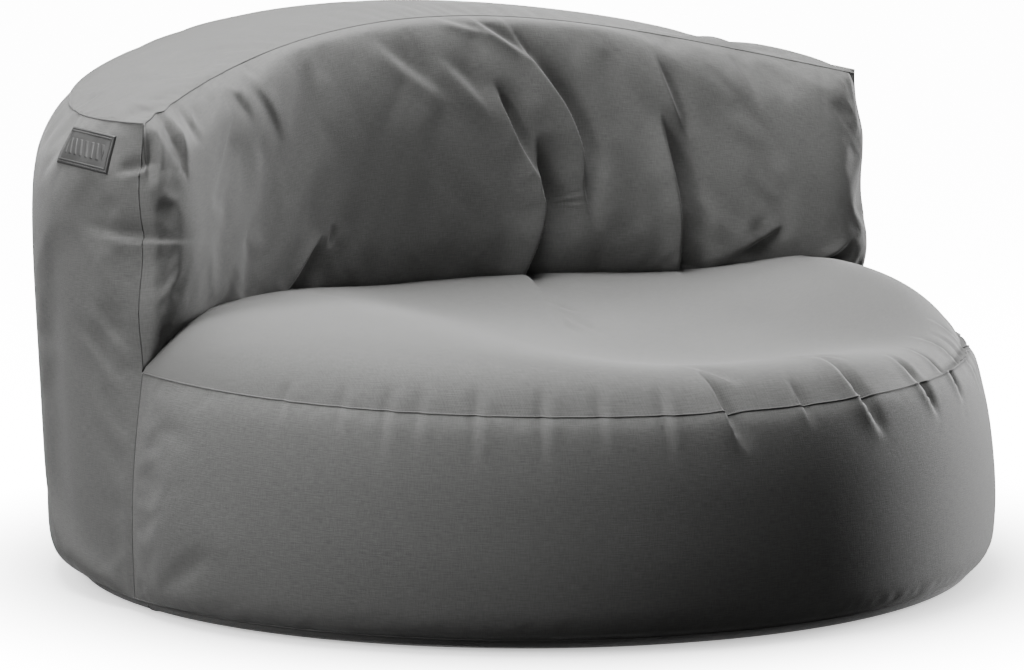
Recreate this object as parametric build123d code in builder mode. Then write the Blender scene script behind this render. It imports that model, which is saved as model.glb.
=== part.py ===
from build123d import *

import os
from math import atan, cos, pi, sin, sqrt

# Round bean bag lounge chair: a sewn cloth cover over two bead-filled liners.
# A full round seat puck lies below, and a crescent cushion stands on its rear half as
# the backrest. The cover is six kinds of cloth panel joined by seams, with a zip across
# the base. Units are millimetres. The origin is on the floor under the middle of the
# chair, +Z is up and the sitter faces -Y.

# --- cloth, seams and gaps ---
cover_cloth = 1.2
liner_cloth = 0.8
layer_gap = 0.3  # between one layer and the next
seam_swell = 0.2  # how much thicker a sewn ridge is than the cloth, each way

# --- overall size, and how far inside the widest line each seam runs ---
chair_radius = 602.0
belly_inset = 10.0
seat_seam_inset = 30.0
head_seam_inset = 38.0
base_seam_inset = 40.0
foot_inset = 62.0

# --- heights ---
base_seam_height = 16.0
belly_low = 100.0  # the lower wall is upright from here
waist_fall = 97.0  # to this far below the seat's seam
seat_seam_height = 287.0
waist_rise = 88.0  # the upper wall is upright from this far above the seat's seam
neck_fall = 81.0  # to this far below the arms' tips
tip_height = 581.0
tip_rise = 9.0  # the wall is drawn in to the head seam this far above the tips
seat_crown = 52.0  # rise of the seat's middle above its seam
seat_flat = 40.0  # radius of the flat at its very middle
back_rise = 92.0  # from the arms' tips to the top seam at the middle of the back

# --- raised middle of the base, which keeps the zip off the floor ---
punt_rise = 12.0
punt_margin = 50.0  # beyond each end of the zip
punt_slope = 40.0

# --- backrest ---
tip_offset = 20.0  # the arms' front seams stand this far behind the middle
hollow = 191.0  # depth of the curve of the top and bottom seams, arm to arm
bulge = 62.0  # how far the padded face stands forward of those seams
face_steps = 6  # curves that shape the face, from the bottom seam to the top one
head_slope = 0.08  # fall of the top panel towards the rear

# --- zip across the base ---
zip_length = 700.0
tape_width, tape_cloth = 14.0, 0.6
tape_overlap = 16.0  # tape beyond each end of the coil
coil_width, coil_thick = 2.4, 2.4
coil_corner = 0.6
coil_gap = 2.0  # between the two coils
slider_length, slider_width = 16.0, 12.0
slider_plate = 1.5
slider_neck = 1.0
slider_clearance = 0.4
slider_corner = 3.0
neck_length = 4.0
flange_length = 9.6  # of the slider's turned-in edges
slot_margin = 1.0  # from the slider to the cloth each side of the zip
stop_length = 4.0
stop_corner = 0.5
bail_length, bail_height = 9.6, 4.0
bail_post = 3.0

# --- rubber badge on the left side of the backrest ---
badge_length, badge_width, badge_thick = 100.0, 46.0, 2.4
badge_height = 540.0  # middle of the badge
badge_angle = 172.0  # bearing of the badge's middle, from +X towards +Y

block_margin = 160.0  # cutting blocks run this far past the chair

# --- sizes that follow ---
ridge_radius = cover_cloth + seam_swell  # rolled edge of two panels sewn together
seam_room = ridge_radius + layer_gap  # from a seam's line to the cloth beside it
cloth_room = cover_cloth + layer_gap
liner_room = cloth_room + liner_cloth + layer_gap
foot_radius = chair_radius - foot_inset
base_seam_radius = chair_radius - base_seam_inset
seat_seam_radius = chair_radius - seat_seam_inset
head_radius = chair_radius - head_seam_inset
head_seam_height = tip_height + tip_rise
back_height = tip_height + back_rise
punt_radius = zip_length / 2 + punt_margin
tape_level = punt_rise + cover_cloth + layer_gap
slider_top = tape_level + tape_cloth + slider_clearance + slider_plate
tape_half = zip_length / 2 + tape_overlap
slot_half = slider_width / 2 + slot_margin
reach = chair_radius + block_margin
ceiling = back_height + block_margin


def wall_line(foot, head, radius, low, high):
    """Side of the cover from its head seam down to its foot: round, upright, round."""
    with BuildLine() as line:
        TangentArc((radius, low), foot, tangent=(0, -1))
        Line((radius, low), (radius, high))
        TangentArc((radius, high), head, tangent=(0, 1))
    return line.wires()[0]


lower_wall = wall_line(
    (base_seam_radius, base_seam_height),
    (seat_seam_radius, seat_seam_height),
    chair_radius - belly_inset,
    belly_low,
    seat_seam_height - waist_fall,
)
upper_wall = wall_line(
    (seat_seam_radius, seat_seam_height),
    (head_radius, head_seam_height),
    chair_radius,
    seat_seam_height + waist_rise,
    tip_height - neck_fall,
)


def circle_through(half_chord, sagitta):
    """Radius of the arc that rises by sagitta over half_chord each side."""
    return (half_chord**2 + sagitta**2) / (2 * sagitta)


def face_curve(share):
    """Plan curve of the backrest's face at a share of the way up the wall above the seat.

    Gives its height, its radius, the y of its centre and the y of its middle."""
    wall = upper_wall @ (1 - share)
    depth = hollow - bulge * sin(pi * share)
    radius = circle_through(sqrt(wall.X**2 - tip_offset**2), depth)
    return wall.Y, radius, tip_offset + depth - radius, tip_offset + depth


head_arc_drop = back_rise - head_slope * hollow
head_arc_radius = circle_through(sqrt(head_radius**2 - tip_offset**2), head_arc_drop)
head_tilt = atan(head_slope)
seat_dome_radius = circle_through(seat_seam_radius, seat_crown)


def seat_level(radius):
    """Height of the seat's domed surface at a distance from the middle."""
    fall = seat_dome_radius - sqrt(seat_dome_radius**2 - radius**2)
    return seat_seam_height + seat_crown - fall


def wall_profile(inset=0.0):
    """Right half of the chair's section, straight up past the head seam to the ceiling.

    All its faces are moved in by inset."""
    with BuildSketch(Plane.XZ) as profile:
        with BuildLine():
            Polyline(
                (0, punt_rise),
                (punt_radius, punt_rise),
                (punt_radius + punt_slope, 0),
                (foot_radius, 0),
            )
            TangentArc(
                (foot_radius, 0), (base_seam_radius, base_seam_height), tangent=(1, 0)
            )
            add(lower_wall)
            add(upper_wall)
            Polyline(
                (head_radius, head_seam_height),
                (head_radius, ceiling),
                (0, ceiling),
                (0, punt_rise),
            )
        make_face()
        mirror(about=Plane.YZ)
        if inset:
            offset(amount=-inset, kind=Kind.ARC)
        with Locations((reach / 2, ceiling / 2)):
            Rectangle(reach, 2 * ceiling, mode=Mode.INTERSECT)
    return profile.sketch


def skin(low, high, outer=0.0, thick=cover_cloth):
    """Ring of cloth that lies outer inside the chair's surface, between two heights."""
    with BuildPart() as ring:
        with BuildSketch(Plane.XZ):
            add(wall_profile(outer))
            add(wall_profile(outer + thick), mode=Mode.SUBTRACT)
            with Locations((reach / 2, (low + high) / 2)):
                Rectangle(reach, high - low, mode=Mode.INTERSECT)
        revolve(axis=Axis.Z)
    return ring.part


def drum(inset):
    """The round of the chair as a solid up to the ceiling, moved in by inset."""
    with BuildPart() as body:
        with BuildSketch(Plane.XZ):
            add(wall_profile(inset))
        revolve(axis=Axis.Z)
    return body.part


def sitter_space(back_by=0.0):
    """The space in front of the backrest's face, moved back_by towards the rear."""
    with BuildPart() as space:
        for step in range(face_steps + 1):
            height, radius, centre_y, middle_y = face_curve(step / face_steps)
            end_y = centre_y + sqrt(radius**2 - reach**2) + back_by
            with BuildSketch(Plane.XY.offset(height)):
                with BuildLine():
                    ThreePointArc((-reach, end_y), (0, middle_y + back_by), (reach, end_y))
                    Polyline(
                        (reach, end_y), (reach, -reach), (-reach, -reach), (-reach, end_y)
                    )
                make_face()
        loft()
        extrude(space.faces().sort_by(Axis.Z)[-1], amount=ceiling - head_seam_height)
        extrude(space.faces().sort_by(Axis.Z)[0], amount=seat_seam_height)
    return space.part


def head_space(raise_by=0.0):
    """The space above the backrest's top surface, raised by raise_by."""
    drop = head_arc_radius - sqrt(head_arc_radius**2 - reach**2)
    slope_plane = Plane(
        origin=(0, tip_offset + hollow, back_height + raise_by),
        x_dir=(1, 0, 0),
        z_dir=(0, -cos(head_tilt), sin(head_tilt)),
    )
    with BuildPart() as space:
        with BuildSketch(slope_plane):
            with BuildLine():
                ThreePointArc((-reach, -drop), (0, 0), (reach, -drop))
                Polyline((reach, -drop), (reach, reach), (-reach, reach), (-reach, -drop))
            make_face()
        extrude(amount=1.5 * reach, both=True)
    return space.part


def seat_profile(raise_by):
    """Right half of the section of everything under the seat's dome."""
    edge = seat_level(reach) + raise_by
    crown = seat_level(seat_flat) + raise_by
    with BuildSketch(Plane.XZ) as profile:
        with BuildLine():
            Polyline(
                (seat_flat, crown), (0, crown), (0, -reach), (reach, -reach), (reach, edge)
            )
            RadiusArc((reach, edge), (seat_flat, crown), seat_dome_radius)
        make_face()
    return profile.sketch


def seat_space(raise_by=0.0):
    """Everything under the seat's domed surface, raised by raise_by."""
    with BuildPart() as space:
        with BuildSketch(Plane.XZ):
            add(seat_profile(raise_by))
        revolve(axis=Axis.Z)
    return space.part


def along(space, larger_by):
    """The layer either side of a cutting space's face, between it larger and smaller."""
    with BuildPart() as layer:
        add(space(larger_by))
        add(space(-larger_by), mode=Mode.SUBTRACT)
    return layer.part


def puck(inset):
    """Solid of the round seat, with all its faces moved in by inset and room below
    for the zip."""
    room = layer_gap + inset - cloth_room
    with BuildPart() as body:
        with BuildSketch(Plane.XZ):
            add(wall_profile(inset))
            add(seat_profile(-inset), mode=Mode.INTERSECT)
        revolve(axis=Axis.Z)
        Box(
            2 * (tape_half + room),
            2 * (coil_gap / 2 + tape_width + room),
            2 * (slider_top + room),
            mode=Mode.SUBTRACT,
        )
    return body.part


def crescent(inset):
    """Solid of the backrest, with all its faces moved in by inset. It lies on the
    seat's liner."""
    with BuildPart() as body:
        add(drum(inset))
        add(sitter_space(inset), mode=Mode.SUBTRACT)
        add(head_space(-inset), mode=Mode.SUBTRACT)
        add(seat_space(layer_gap + inset - 2 * cloth_room), mode=Mode.SUBTRACT)
    return body.part


def save(part, name):
    part.label = name
    export_step(part, f"parts/{name}.step")


os.makedirs("parts", exist_ok=True)

with BuildPart() as behind_tips:
    with Locations((0, tip_offset + seam_room, 0)):
        Box(2 * reach, reach, 2 * ceiling, align=(Align.CENTER, Align.MIN, Align.CENTER))
with BuildPart() as before_tips:
    with Locations((0, tip_offset - seam_room, 0)):
        Box(
            2 * reach, 2 * reach, 2 * ceiling, align=(Align.CENTER, Align.MAX, Align.CENTER)
        )

# --- base: two half discs, sewn together beyond the ends of the zip ---
base_skin = skin(-1, base_seam_height - seam_room)
for side, name in ((1, "base_rear"), (-1, "base_front")):
    with BuildPart() as base_half:
        add(base_skin)
        Box(zip_length + 2 * layer_gap, 2 * slot_half, reach, mode=Mode.SUBTRACT)
        with Locations((0, side * (reach / 2 + seam_room), 0)):
            Box(2 * reach, reach, reach, mode=Mode.INTERSECT)
    save(base_half.part, name)

cross_start, cross_end = tape_half + layer_gap, base_seam_radius - 2 * seam_room
with BuildPart() as seam_base_cross:
    add(base_skin)
    with Locations(*[(side * (cross_start + cross_end) / 2, 0, 0) for side in (-1, 1)]):
        Box(cross_end - cross_start, 2 * ridge_radius, reach, mode=Mode.INTERSECT)
save(seam_base_cross.part, "seam_base_cross")

# --- walls of the cover, which meet at the arms' front seams ---
wall_foot = base_seam_height + seam_room
with BuildPart() as front_wall:
    add(skin(wall_foot, seat_seam_height - seam_room))
    add(before_tips.part, mode=Mode.INTERSECT)
save(front_wall.part, "front_wall")

with BuildPart() as rear_wall:
    add(skin(wall_foot, ceiling - 2 * cover_cloth))
    add(behind_tips.part, mode=Mode.INTERSECT)
    add(head_space(-seam_room), mode=Mode.SUBTRACT)
save(rear_wall.part, "rear_wall")

# --- seat, padded face and top of the backrest ---
with BuildPart() as seat_top:
    add(seat_space())
    add(seat_space(-cover_cloth), mode=Mode.SUBTRACT)
    Cylinder(seat_seam_radius - seam_room, 2 * reach, mode=Mode.INTERSECT)
    add(sitter_space(-seam_room), mode=Mode.INTERSECT)
save(seat_top.part, "seat_top")

inside_walls = drum(seam_room)
with BuildPart() as back_face:
    add(sitter_space(cover_cloth))
    add(sitter_space(), mode=Mode.SUBTRACT)
    add(head_space(-seam_room), mode=Mode.SUBTRACT)
    add(seat_space(seam_room), mode=Mode.SUBTRACT)
    add(inside_walls, mode=Mode.INTERSECT)
save(back_face.part, "back_face")

with BuildPart() as back_top:
    add(head_space(-cover_cloth))
    add(head_space(), mode=Mode.SUBTRACT)
    add(sitter_space(seam_room), mode=Mode.SUBTRACT)
    add(inside_walls, mode=Mode.INTERSECT)
save(back_top.part, "back_top")

# --- seams: each is a ridge along the line where two panels meet ---
for radius, height, name in (
    (base_seam_radius, base_seam_height, "seam_base"),
    (seat_seam_radius, seat_seam_height, "seam_seat"),
):
    with BuildPart() as seam_ring:
        with BuildSketch(Plane.XZ):
            with Locations((radius, height)):
                Circle(ridge_radius)
        revolve(axis=Axis.Z)
        if name == "seam_seat":
            add(before_tips.part, mode=Mode.INTERSECT)
    save(seam_ring.part, name)

with BuildPart() as seam_crease:
    add(along(sitter_space, ridge_radius))
    add(along(seat_space, ridge_radius), mode=Mode.INTERSECT)
    add(inside_walls, mode=Mode.INTERSECT)
    add(behind_tips.part, mode=Mode.INTERSECT)
save(seam_crease.part, "seam_crease")

with BuildPart() as seam_back_face:
    add(along(sitter_space, ridge_radius))
    add(along(head_space, -ridge_radius), mode=Mode.INTERSECT)
    add(inside_walls, mode=Mode.INTERSECT)
    add(behind_tips.part, mode=Mode.INTERSECT)
save(seam_back_face.part, "seam_back_face")

wall_ridge = skin(wall_foot, ceiling - 2 * seam_room, -ridge_radius, 2 * ridge_radius)
with BuildPart() as seam_back_rear:
    add(wall_ridge)
    add(along(head_space, -ridge_radius), mode=Mode.INTERSECT)
    add(behind_tips.part, mode=Mode.INTERSECT)
save(seam_back_rear.part, "seam_back_rear")

for side, name in ((-1, "seam_tip_left"), (1, "seam_tip_right")):
    with BuildPart() as seam_tip:
        add(wall_ridge)
        with Locations((side * reach / 2, tip_offset, 0)):
            Box(reach, 2 * ridge_radius, 2 * ceiling, mode=Mode.INTERSECT)
        add(head_space(), mode=Mode.SUBTRACT)
    save(seam_tip.part, name)

# --- zip: tapes inside the base cloth, coils below them, slider round both ---
with BuildPart() as zip_tape:
    with Locations((0, coil_gap / 2 + tape_width / 2, tape_level + tape_cloth / 2)):
        Box(2 * tape_half, tape_width, tape_cloth)
save(zip_tape.part, "zip_tape_rear")
with BuildPart() as zip_tape_front:
    add(mirror(zip_tape.part, about=Plane.XZ))
save(zip_tape_front.part, "zip_tape_front")

coil_half = zip_length / 2 - stop_length - layer_gap
with BuildPart() as zip_coil:
    with BuildSketch(Plane.YZ):
        with Locations((coil_gap / 2 + coil_width / 2, tape_level - coil_thick / 2)):
            RectangleRounded(coil_width, coil_thick, coil_corner)
    extrude(amount=coil_half, both=True)
save(zip_coil.part, "zip_coil_rear")
with BuildPart() as zip_coil_front:
    add(mirror(zip_coil.part, about=Plane.XZ))
save(zip_coil_front.part, "zip_coil_front")

for side, name in ((-1, "zip_stop_start"), (1, "zip_stop_end")):
    with BuildPart() as zip_stop:
        with Locations(
            (side * (zip_length - stop_length) / 2, 0, tape_level - coil_thick / 2)
        ):
            Box(stop_length, coil_gap + 2 * coil_width, coil_thick)
        fillet(zip_stop.edges().filter_by(Axis.Z), stop_corner)
    save(zip_stop.part, name)

slider_x = coil_half - slider_length / 2 - layer_gap
lower_plate_top = tape_level - coil_thick - slider_clearance
upper_plate_low = tape_level + tape_cloth + slider_clearance
channel = coil_gap / 2 + coil_width + slider_clearance
flange = slider_width / 2 - channel
with BuildPart() as zip_slider:
    for low, high in (
        (lower_plate_top - slider_plate, lower_plate_top),
        (upper_plate_low, upper_plate_low + slider_plate),
    ):
        with BuildSketch(Plane.XY.offset(low)):
            with Locations((slider_x, 0)):
                RectangleRounded(slider_length, slider_width, slider_corner)
        extrude(amount=high - low)
    with Locations((slider_x + slider_length / 4, 0, lower_plate_top)):
        Box(
            neck_length,
            slider_neck,
            upper_plate_low - lower_plate_top,
            align=(Align.CENTER, Align.CENTER, Align.MIN),
        )
    for side in (-1, 1):
        with Locations((slider_x, side * (channel + flange / 2), lower_plate_top)):
            Box(
                flange_length,
                flange,
                tape_level - slider_clearance - lower_plate_top,
                align=(Align.CENTER, Align.CENTER, Align.MIN),
            )
save(zip_slider.part, "zip_slider")

bail_top = lower_plate_top - slider_plate
with BuildPart() as zip_bail:
    with BuildSketch(Plane.XZ):
        with Locations((slider_x, bail_top)):
            Rectangle(bail_length, bail_height, align=(Align.CENTER, Align.MAX))
            Rectangle(
                bail_length - 2 * bail_post,
                bail_height - slider_plate,
                align=(Align.CENTER, Align.MAX),
                mode=Mode.SUBTRACT,
            )
    extrude(amount=slider_plate, both=True)
    fillet(zip_bail.edges().group_by(Axis.Z)[0].filter_by(Axis.Y), slider_plate / 2)
save(zip_bail.part, "zip_bail")

# --- badge sewn to the outside of the rear wall ---
facing = Rotation(0, 0, badge_angle)
with BuildPart() as badge:
    add(
        skin(
            badge_height - badge_width / 2,
            badge_height + badge_width / 2,
            -layer_gap - badge_thick,
            badge_thick,
        )
    )
    with Locations(facing * Location((chair_radius, 0, badge_height))):
        Box(chair_radius / 2, badge_length, badge_width, mode=Mode.INTERSECT)
save(badge.part, "badge")

# --- liners and what they hold ---
for solid, liner_name, beads_name in (
    (puck, "seat_liner", "seat_beads"),
    (crescent, "back_liner", "back_beads"),
):
    with BuildPart() as liner:
        add(solid(cloth_room))
        add(solid(cloth_room + liner_cloth), mode=Mode.SUBTRACT)
    save(liner.part, liner_name)
    with BuildPart() as beads:
        add(solid(liner_room))
    save(beads.part, beads_name)
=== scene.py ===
from math import cos, pi, sin

import bmesh
import bpy
import numpy as np
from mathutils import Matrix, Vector
from mathutils.bvhtree import BVHTree


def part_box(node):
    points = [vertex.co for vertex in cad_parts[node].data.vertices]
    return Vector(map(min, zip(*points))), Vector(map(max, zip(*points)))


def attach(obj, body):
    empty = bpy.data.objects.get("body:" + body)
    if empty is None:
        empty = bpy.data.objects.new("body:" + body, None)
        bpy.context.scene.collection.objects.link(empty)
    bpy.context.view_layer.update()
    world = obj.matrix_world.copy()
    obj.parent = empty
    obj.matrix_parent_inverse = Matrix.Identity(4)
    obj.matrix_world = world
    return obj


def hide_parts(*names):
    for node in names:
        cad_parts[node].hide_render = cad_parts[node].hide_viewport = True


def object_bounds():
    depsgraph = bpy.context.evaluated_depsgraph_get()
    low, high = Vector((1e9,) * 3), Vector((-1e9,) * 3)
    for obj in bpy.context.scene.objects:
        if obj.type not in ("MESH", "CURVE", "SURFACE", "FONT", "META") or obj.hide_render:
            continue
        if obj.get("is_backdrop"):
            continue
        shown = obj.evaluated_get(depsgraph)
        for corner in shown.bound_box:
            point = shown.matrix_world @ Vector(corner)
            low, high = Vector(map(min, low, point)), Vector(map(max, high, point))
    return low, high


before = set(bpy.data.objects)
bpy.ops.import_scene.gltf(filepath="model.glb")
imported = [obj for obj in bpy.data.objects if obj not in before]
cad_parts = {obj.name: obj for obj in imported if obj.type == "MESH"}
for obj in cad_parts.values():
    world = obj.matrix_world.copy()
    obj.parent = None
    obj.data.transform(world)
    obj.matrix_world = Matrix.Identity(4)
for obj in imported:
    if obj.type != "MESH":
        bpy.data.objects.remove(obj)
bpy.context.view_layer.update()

# --- Studio -----------------------------------------------------------------------
# A pale floor that runs on to the horizon and glows white away from the chair (painted light), a
# broad lamp above, a strip on each side, a small lamp below that shows the zip, and a camera on a
# long lens to the front left.

EYE = Vector((-3.978, -5.490, 1.285))
LOOK = Vector((0.57842, 0.80267, -0.14546))
camera_data = bpy.data.cameras.new("camera")
camera_data.lens = 193.9
camera_data.sensor_width = 36
camera_data.clip_end = 100
camera = bpy.data.objects.new("camera", camera_data)
camera.location = EYE
camera.rotation_euler = LOOK.to_track_quat("-Z", "Y").to_euler()
bpy.context.scene.collection.objects.link(camera)
bpy.context.scene.camera = camera


def area_lamp(name, place, aim, width, height, watts):
    data = bpy.data.lights.new(name, "AREA")
    data.shape = "RECTANGLE"
    data.size, data.size_y = width, height
    data.energy = watts
    lamp = bpy.data.objects.new(name, data)
    lamp.location = place
    lamp.rotation_euler = (Vector(aim) - Vector(place)).to_track_quat("-Z", "Y").to_euler()
    bpy.context.scene.collection.objects.link(lamp)


area_lamp("lamp_top", (-0.3, 0.3, 3.0), (0.0, 0.0, 0.2), 2.4, 1.8, 270)
area_lamp("lamp_left", (-3.4, 0.1, 1.9), (0.0, 0.0, 0.3), 1.1, 1.9, 120)
area_lamp("lamp_right", (3.1, -0.24, 0.5), (0.3, -0.3, 0.2), 0.6, 0.9, 165)
area_lamp("lamp_under", (0.0, 0.0, -0.45), (0.0, 0.001, 0.0), 0.3, 0.3, 5)

ROOM_LIGHT, WHITE_WALL = 0.07, 9.0  # what lights the chair, and what stands behind it
world = bpy.data.worlds.new("studio")
bpy.context.scene.world = world
world.use_nodes = True
sky = world.node_tree
sky.nodes["Background"].inputs["Color"].default_value = (1, 1, 1, 1)
sky.nodes["Background"].inputs["Strength"].default_value = ROOM_LIGHT
to_eye = sky.nodes.new("ShaderNodeBackground")
to_eye.inputs["Color"].default_value = (1, 1, 1, 1)
to_eye.inputs["Strength"].default_value = WHITE_WALL
rays = sky.nodes.new("ShaderNodeLightPath")
either = sky.nodes.new("ShaderNodeMixShader")
sky.links.new(rays.outputs["Is Camera Ray"], either.inputs["Fac"])
sky.links.new(sky.nodes["Background"].outputs[0], either.inputs[1])
sky.links.new(to_eye.outputs[0], either.inputs[2])
sky.links.new(either.outputs[0], sky.nodes["World Output"].inputs["Surface"])


class Shade:
    """A socket among a material's nodes, which takes Python's own operators."""

    def __init__(self, tree, socket=None):
        self.tree, self.socket = tree, socket

    def node(self, kind, settings=(), inputs=(), out=0):
        made = self.tree.nodes.new(kind)
        for key, value in dict(settings).items():
            setattr(made, key, value)
        for key, value in dict(inputs).items():
            if isinstance(value, Shade):
                self.tree.links.new(value.socket, made.inputs[key])
            else:
                made.inputs[key].default_value = value
        return Shade(self.tree, made.outputs[out])

    def maths(self, operation, first, second=0.0):
        return self.node("ShaderNodeMath", {"operation": operation}, {0: first, 1: second})

    def __add__(self, other):
        return self.maths("ADD", self, other)

    def __sub__(self, other):
        return self.maths("SUBTRACT", self, other)

    def __rsub__(self, other):
        return self.maths("SUBTRACT", other, self)

    def __mul__(self, other):
        return self.maths("MULTIPLY", self, other)

    __radd__ = __add__
    __rmul__ = __mul__


def finish_of(name, roughness, sheen=0.0, metallic=0.0):
    """A new material: the material, its nodes to build on, and its shader."""
    material = bpy.data.materials.new(name)
    material.use_nodes = True
    shader = material.node_tree.nodes["Principled BSDF"]
    shader.inputs["Roughness"].default_value = roughness
    shader.inputs["Metallic"].default_value = metallic
    shader.inputs["Sheen Weight"].default_value = sheen
    return material, Shade(material.node_tree), shader


def feed(shade, shader, name):
    shade.tree.links.new(shade.socket, shader.inputs[name])


def colour_between(nodes, share, first, second):
    return nodes.node(
        "ShaderNodeMix",
        {"data_type": "RGBA"},
        {"Factor": share, "A": (*first, 1), "B": (*second, 1)},
        out="Result",
    )


def bumped(nodes, height, strength, distance):
    return nodes.node(
        "ShaderNodeBump", inputs={"Strength": strength, "Distance": distance, "Height": height}
    )


def link_piece(name, bm):
    """A new object of a finished bmesh."""
    mesh = bpy.data.meshes.new(name)
    bm.to_mesh(mesh)
    bm.free()
    for polygon in mesh.polygons:
        polygon.use_smooth = True
    piece = bpy.data.objects.new(name, mesh)
    bpy.context.scene.collection.objects.link(piece)
    return piece


FLOOR_HALF = 30
FLOOR_GLOW = 14.0  # strength of the painted white glow that the floor fades into
GLOW_FROM, GLOW_FULL = 0.48, 0.92  # distance from the middle of the chair over which the painted glow fades in


def floor_piece():
    """The floor, which lets the chair be seen and lit from underneath. For the camera it glows
    white, a painted light that fades in from GLOW_FROM to GLOW_FULL away from the chair's middle,
    so that it stays darker close to the chair.
    """
    bm = bmesh.new()
    bmesh.ops.create_grid(bm, x_segments=2, y_segments=2, size=FLOOR_HALF)
    floor = link_piece("floor", bm)
    material, nodes, shader = finish_of("floor_paint", 0.9)
    seen = nodes.node("ShaderNodeLightPath", out="Is Camera Ray")
    paint = colour_between(nodes, seen, (0.05, 0.05, 0.05), (0.93, 0.93, 0.93))
    feed(paint, shader, "Base Color")
    place = nodes.node("ShaderNodeTexCoord", out="Object")
    away = nodes.node(
        "ShaderNodeVectorMath", {"operation": "LENGTH"}, {"Vector": place}, out="Value"
    )
    # painted light: the floor's glow, none close to the chair and full beyond GLOW_FULL
    painted_glow_share = nodes.node(
        "ShaderNodeMapRange",
        {"interpolation_type": "SMOOTHSTEP"},
        {"Value": away, "From Min": GLOW_FROM, "From Max": GLOW_FULL},
    )
    feed(colour_between(nodes, painted_glow_share * seen, (0, 0, 0), (1, 1, 1)), shader, "Emission Color")
    from_above = 1.0 - nodes.node("ShaderNodeNewGeometry", out="Backfacing")
    unshaded = 1.0 - nodes.node("ShaderNodeLightPath", out="Is Shadow Ray")
    feed(from_above * unshaded, shader, "Alpha")
    shader.inputs["Emission Strength"].default_value = FLOOR_GLOW
    floor.data.materials.append(material)
    floor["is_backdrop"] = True


floor_piece()

# --- Cover cloth ------------------------------------------------------------------
# Dark grey polyester canvas, woven from slubby yarn. Each panel's UV map is in metres,
# with U along the level threads, so that the weave follows the panel as it was cut.


THREADS = 250.0  # scale of the weave
SLUB_STRETCH, RISE_STRETCH = (70.0, 760.0, 1.0), (700.0, 90.0, 1.0)


def streaks(nodes, cut, stretch, detail):
    """Uneven yarn, drawn out along the level threads or along the upright ones."""
    run = nodes.node("ShaderNodeMapping", inputs={"Vector": cut, "Scale": stretch})
    return nodes.node(
        "ShaderNodeTexNoise", inputs={"Vector": run, "Scale": 1.0, "Detail": detail}
    )


def cloth_finish(name, dark, light, sheen=0.22):
    material, nodes, shader = finish_of(name, 0.84, sheen=sheen)
    shader.inputs["Sheen Roughness"].default_value = 0.4
    cut = nodes.node("ShaderNodeTexCoord", out="UV")
    slub = streaks(nodes, cut, SLUB_STRETCH, 3.0)
    rise = streaks(nodes, cut, RISE_STRETCH, 2.0)
    weft, warp = (
        nodes.node("ShaderNodeTexWave", {"bands_direction": way}, {"Vector": cut, "Scale": THREADS})
        for way in "YX"
    )
    worn = nodes.node("ShaderNodeTexNoise", inputs={"Vector": cut, "Scale": 6.0, "Detail": 3.0})
    yarn = slub * 0.5 + rise * 0.35 + worn * 0.15
    spread = nodes.node(
        "ShaderNodeMapRange", inputs={"Value": yarn, "From Min": 0.36, "From Max": 0.64}
    )
    feed(colour_between(nodes, spread, dark, light), shader, "Base Color")
    weave = slub * 0.6 + rise * 0.35 + weft * warp * 0.3
    feed(bumped(nodes, weave, 0.42, 0.001), shader, "Normal")
    return material


COVER_CLOTH = cloth_finish("cover_cloth", (0.082, 0.082, 0.080), (0.122, 0.122, 0.119))
SEAM_CLOTH = cloth_finish("seam_cloth", (0.066, 0.066, 0.065), (0.100, 0.100, 0.098))

# --- Lines of the cover -----------------------------------------------------------
# The seams are sewn lines that the full cover holds in place. Every panel is hung
# between them, so the lines are shared, and a panel bulges out past its own.

MM = 0.001
BASE_SEAM_R, BASE_SEAM_Z = 0.560, 0.016
SEAT_SEAM_R, SEAT_SEAM_Z = 0.547, 0.287
TIP_Y = 0.022
TIP_TOP = 0.581
HOLLOW = 0.189  # depth of the backrest's curve in plan, from arm to arm
BACK_RISE = 0.088  # rise of the top seam from the arms to the middle
ARC_R = (SEAT_SEAM_R**2 + HOLLOW**2) / (2 * HOLLOW)
TIP_BEARING = float(np.arcsin(TIP_Y / SEAT_SEAM_R))
REAR_SIDE = [
    (560, 16), (578, 21), (588, 48), (590, 110), (594, 210), (598, 300),
    (602, 390), (603, 465), (598, 525), (585, 562), (563, 590),
]
FRONT_SIDE = [
    (560, 16), (571, 21), (577, 44), (580, 90),
    (578, 140), (571, 200), (560, 250), (547, 287),
]
PINCH = 0.27  # bearing from the arms' upright seams over which the wall fills out
NECK_Z = 0.3  # above this, the rear wall is drawn up to its own top


def smooth_line(points, share):
    """Points at shares of the length of a smooth line through a few points given in mm."""
    given = np.array(points, float) * MM
    ends = np.vstack([2 * given[0] - given[1], given, 2 * given[-1] - given[-2]])
    run = []
    for a, b, c, d in zip(ends, ends[1:], ends[2:], ends[3:]):
        t = np.linspace(0, 1, 24, endpoint=False)[:, None]
        curve = 2 * b + (c - a) * t + (2 * a - 5 * b + 4 * c - d) * t**2
        run.append(0.5 * (curve + (3 * b - a - 3 * c + d) * t**3))
    run = np.vstack(run + [given[-1:]])
    length = np.r_[0, np.cumsum(np.linalg.norm(np.diff(run, axis=0), axis=1))]
    return np.stack([np.interp(share, length / length[-1], axis) for axis in run.T], axis=-1)


def rounded(share):
    """Rises steeply from 0 and levels out at 1, as stuffed cloth does from a seam."""
    return np.sqrt(1 - np.clip(1 - share, 0, 1) ** 2)


def eased(share):
    share = np.clip(share, 0, 1)
    return share * share * (3 - 2 * share)


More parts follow.
